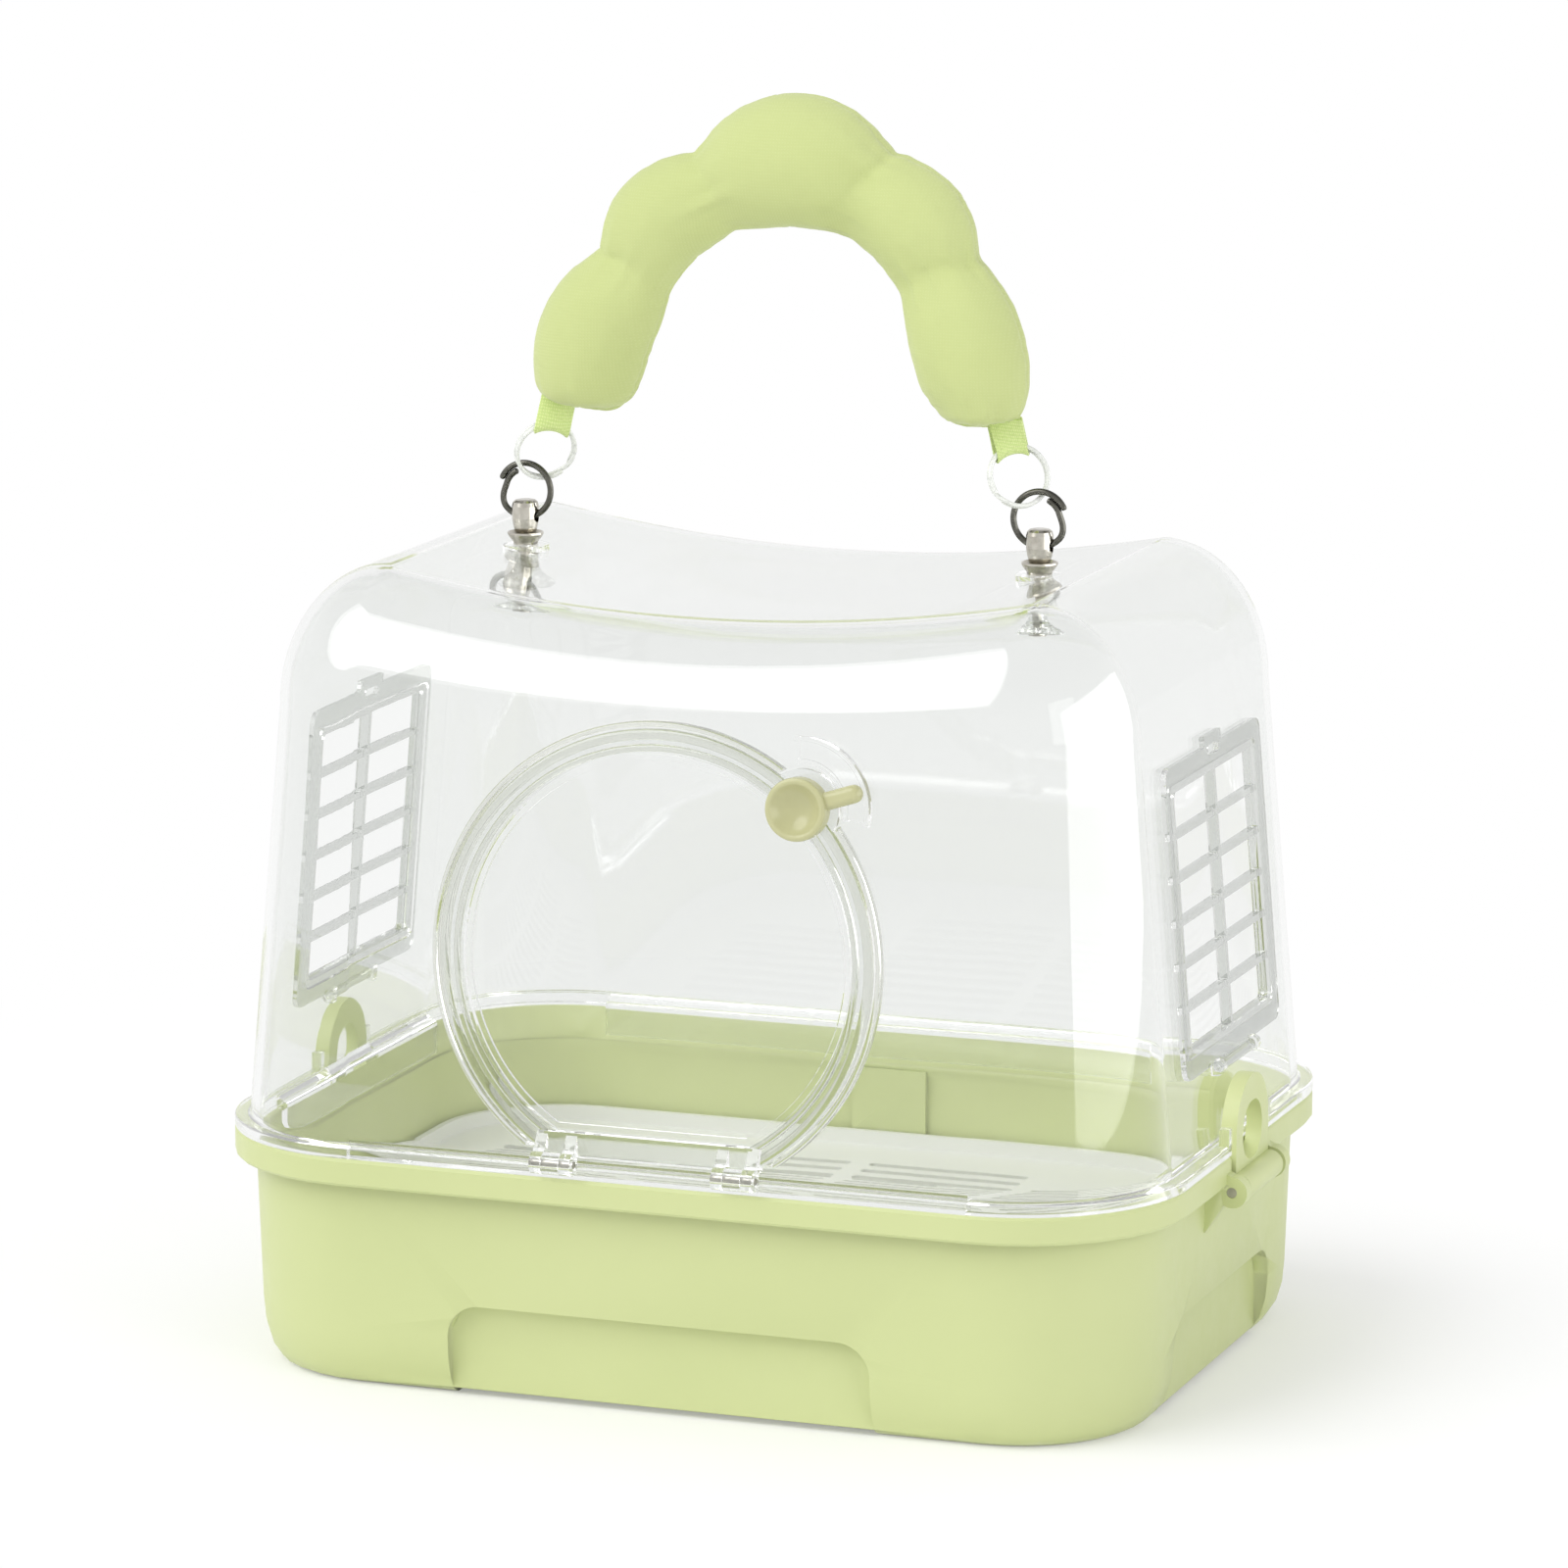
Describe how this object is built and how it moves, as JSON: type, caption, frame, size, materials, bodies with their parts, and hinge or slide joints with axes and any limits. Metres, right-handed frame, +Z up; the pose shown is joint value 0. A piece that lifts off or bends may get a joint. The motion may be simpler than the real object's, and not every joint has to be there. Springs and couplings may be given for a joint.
{
  "type": "bird travel carrier",
  "caption": "Small pet bird carrier: clear domed cover on a green tub, with a round hinged door, grille vents, side latches and a padded handle on swivels.",
  "frame": {"origin": "centre of the footprint of the four corner feet, on the surface that the carrier stands on", "axes": "+Z up, -Y towards the round door at the front, +X to the right seen from the front"},
  "size_m": [0.3022, 0.2231, 0.37],
  "materials": {
    "tub_plastic": "satin moulded polypropylene",
    "grate_plastic": "satin moulded",
    "clear_plastic": "polished clear moulding",
    "knob_plastic": "gloss moulded",
    "nickel": "polished nickel plate",
    "dark_nickel": "dark nickel plate",
    "coated_wire": "pale coating on steel wire",
    "pin_steel": "drawn steel",
    "webbing": "woven tape",
    "pad_fabric": "fine plain weave, stuffed"
  },
  "bodies": {
    "tub": {"base_tub": "tub_plastic", "latch_pin_left": "pin_steel", "latch_pin_right": "pin_steel"},
    "grate": {"floor_grate": "grate_plastic"},
    "cover": {"dome": "clear_plastic", "dome_lip_front_left": "clear_plastic", "dome_lip_front_right": "clear_plastic", "dome_lip_rear_left": "clear_plastic", "dome_lip_rear_right": "clear_plastic", "door_hinge_pin_left": "pin_steel", "door_hinge_pin_right": "pin_steel", "swivel_collar_left": "nickel", "swivel_collar_right": "nickel", "swivel_bush_left": "clear_plastic", "swivel_bush_right": "clear_plastic"},
    "door": {"door_panel": "clear_plastic"},
    "knob": {"door_knob": "knob_plastic", "knob_screw": "pin_steel"},
    "vent_left": {"vent_left": "clear_plastic"},
    "vent_right": {"vent_right": "clear_plastic"},
    "latch_left": {"latch_left": "tub_plastic"},
    "latch_right": {"latch_right": "tub_plastic"},
    "swivel_left": {"swivel_head_left": "nickel", "swivel_screw_left": "pin_steel"},
    "swivel_right": {"swivel_head_right": "nickel", "swivel_screw_right": "pin_steel"},
    "ring_left": {"swivel_ring_left": "dark_nickel"},
    "ring_right": {"swivel_ring_right": "dark_nickel"},
    "handle": {"handle_pad": "pad_fabric", "webbing_tab_left": "webbing", "webbing_tab_right": "webbing", "split_ring_left": "coated_wire", "split_ring_right": "coated_wire"}
  },
  "joints": [
    {"name": "grate_lift", "type": "slide", "parent": "tub", "child": "grate", "axis": [0, 0, 1], "range_m": [0, 0.04]},
    {"name": "cover_lift", "type": "slide", "parent": "tub", "child": "cover", "axis": [0, 0, 1], "range_m": [0, 0.15]},
    {"name": "door_swing", "type": "hinge", "parent": "cover", "child": "door", "pos_m": [0, -0.1109, 0.075], "axis": [1, 0, 0], "range_deg": [0, 110]},
    {"name": "knob_turn", "type": "hinge", "parent": "door", "child": "knob", "pos_m": [0.0428, -0.0955, 0.18004], "axis": [0, -0.9964, 0.0842], "range_deg": [-90, 0]},
    {"name": "vent_left_swing", "type": "hinge", "parent": "cover", "child": "vent_left", "pos_m": [-0.14051, 0, 0.09598], "axis": [0, -1, 0], "range_deg": [0, 85]},
    {"name": "vent_right_swing", "type": "hinge", "parent": "cover", "child": "vent_right", "pos_m": [0.14051, 0, 0.09598], "axis": [0, 1, 0], "range_deg": [0, 85]},
    {"name": "latch_left_swing", "type": "hinge", "parent": "tub", "child": "latch_left", "pos_m": [-0.1465, 0, 0.0605], "axis": [0, -1, 0], "range_deg": [0, 100]},
    {"name": "latch_right_swing", "type": "hinge", "parent": "tub", "child": "latch_right", "pos_m": [0.1465, 0, 0.0605], "axis": [0, 1, 0], "range_deg": [0, 100]},
    {"name": "swivel_left_turn", "type": "hinge", "parent": "cover", "child": "swivel_left", "pos_m": [-0.08, 0, 0.24178], "axis": [0, 0, 1], "range_deg": [-8, 8]},
    {"name": "swivel_right_turn", "type": "hinge", "parent": "cover", "child": "swivel_right", "pos_m": [0.08, 0, 0.24178], "axis": [0, 0, 1], "range_deg": [-8, 8]},
    {"name": "handle_swing", "type": "hinge", "parent": "cover", "child": "handle", "pos_m": [0, 0, 0.24178], "axis": [1, 0, 0], "range_deg": [-75, 75]},
    {"name": "ring_left_pitch", "type": "hinge", "parent": "swivel_left", "child": "ring_left", "pos_m": [-0.08, 0, 0.24178], "axis": [1, 0, 0], "range_deg": [-75, 75]},
    {"name": "ring_right_pitch", "type": "hinge", "parent": "swivel_right", "child": "ring_right", "pos_m": [0.08, 0, 0.24178], "axis": [1, 0, 0], "range_deg": [-75, 75]}
  ],
  "couplings": [
    {"joint": "ring_left_pitch", "follows": "handle_swing", "ratio": 1},
    {"joint": "ring_right_pitch", "follows": "handle_swing", "ratio": 1}
  ]
}
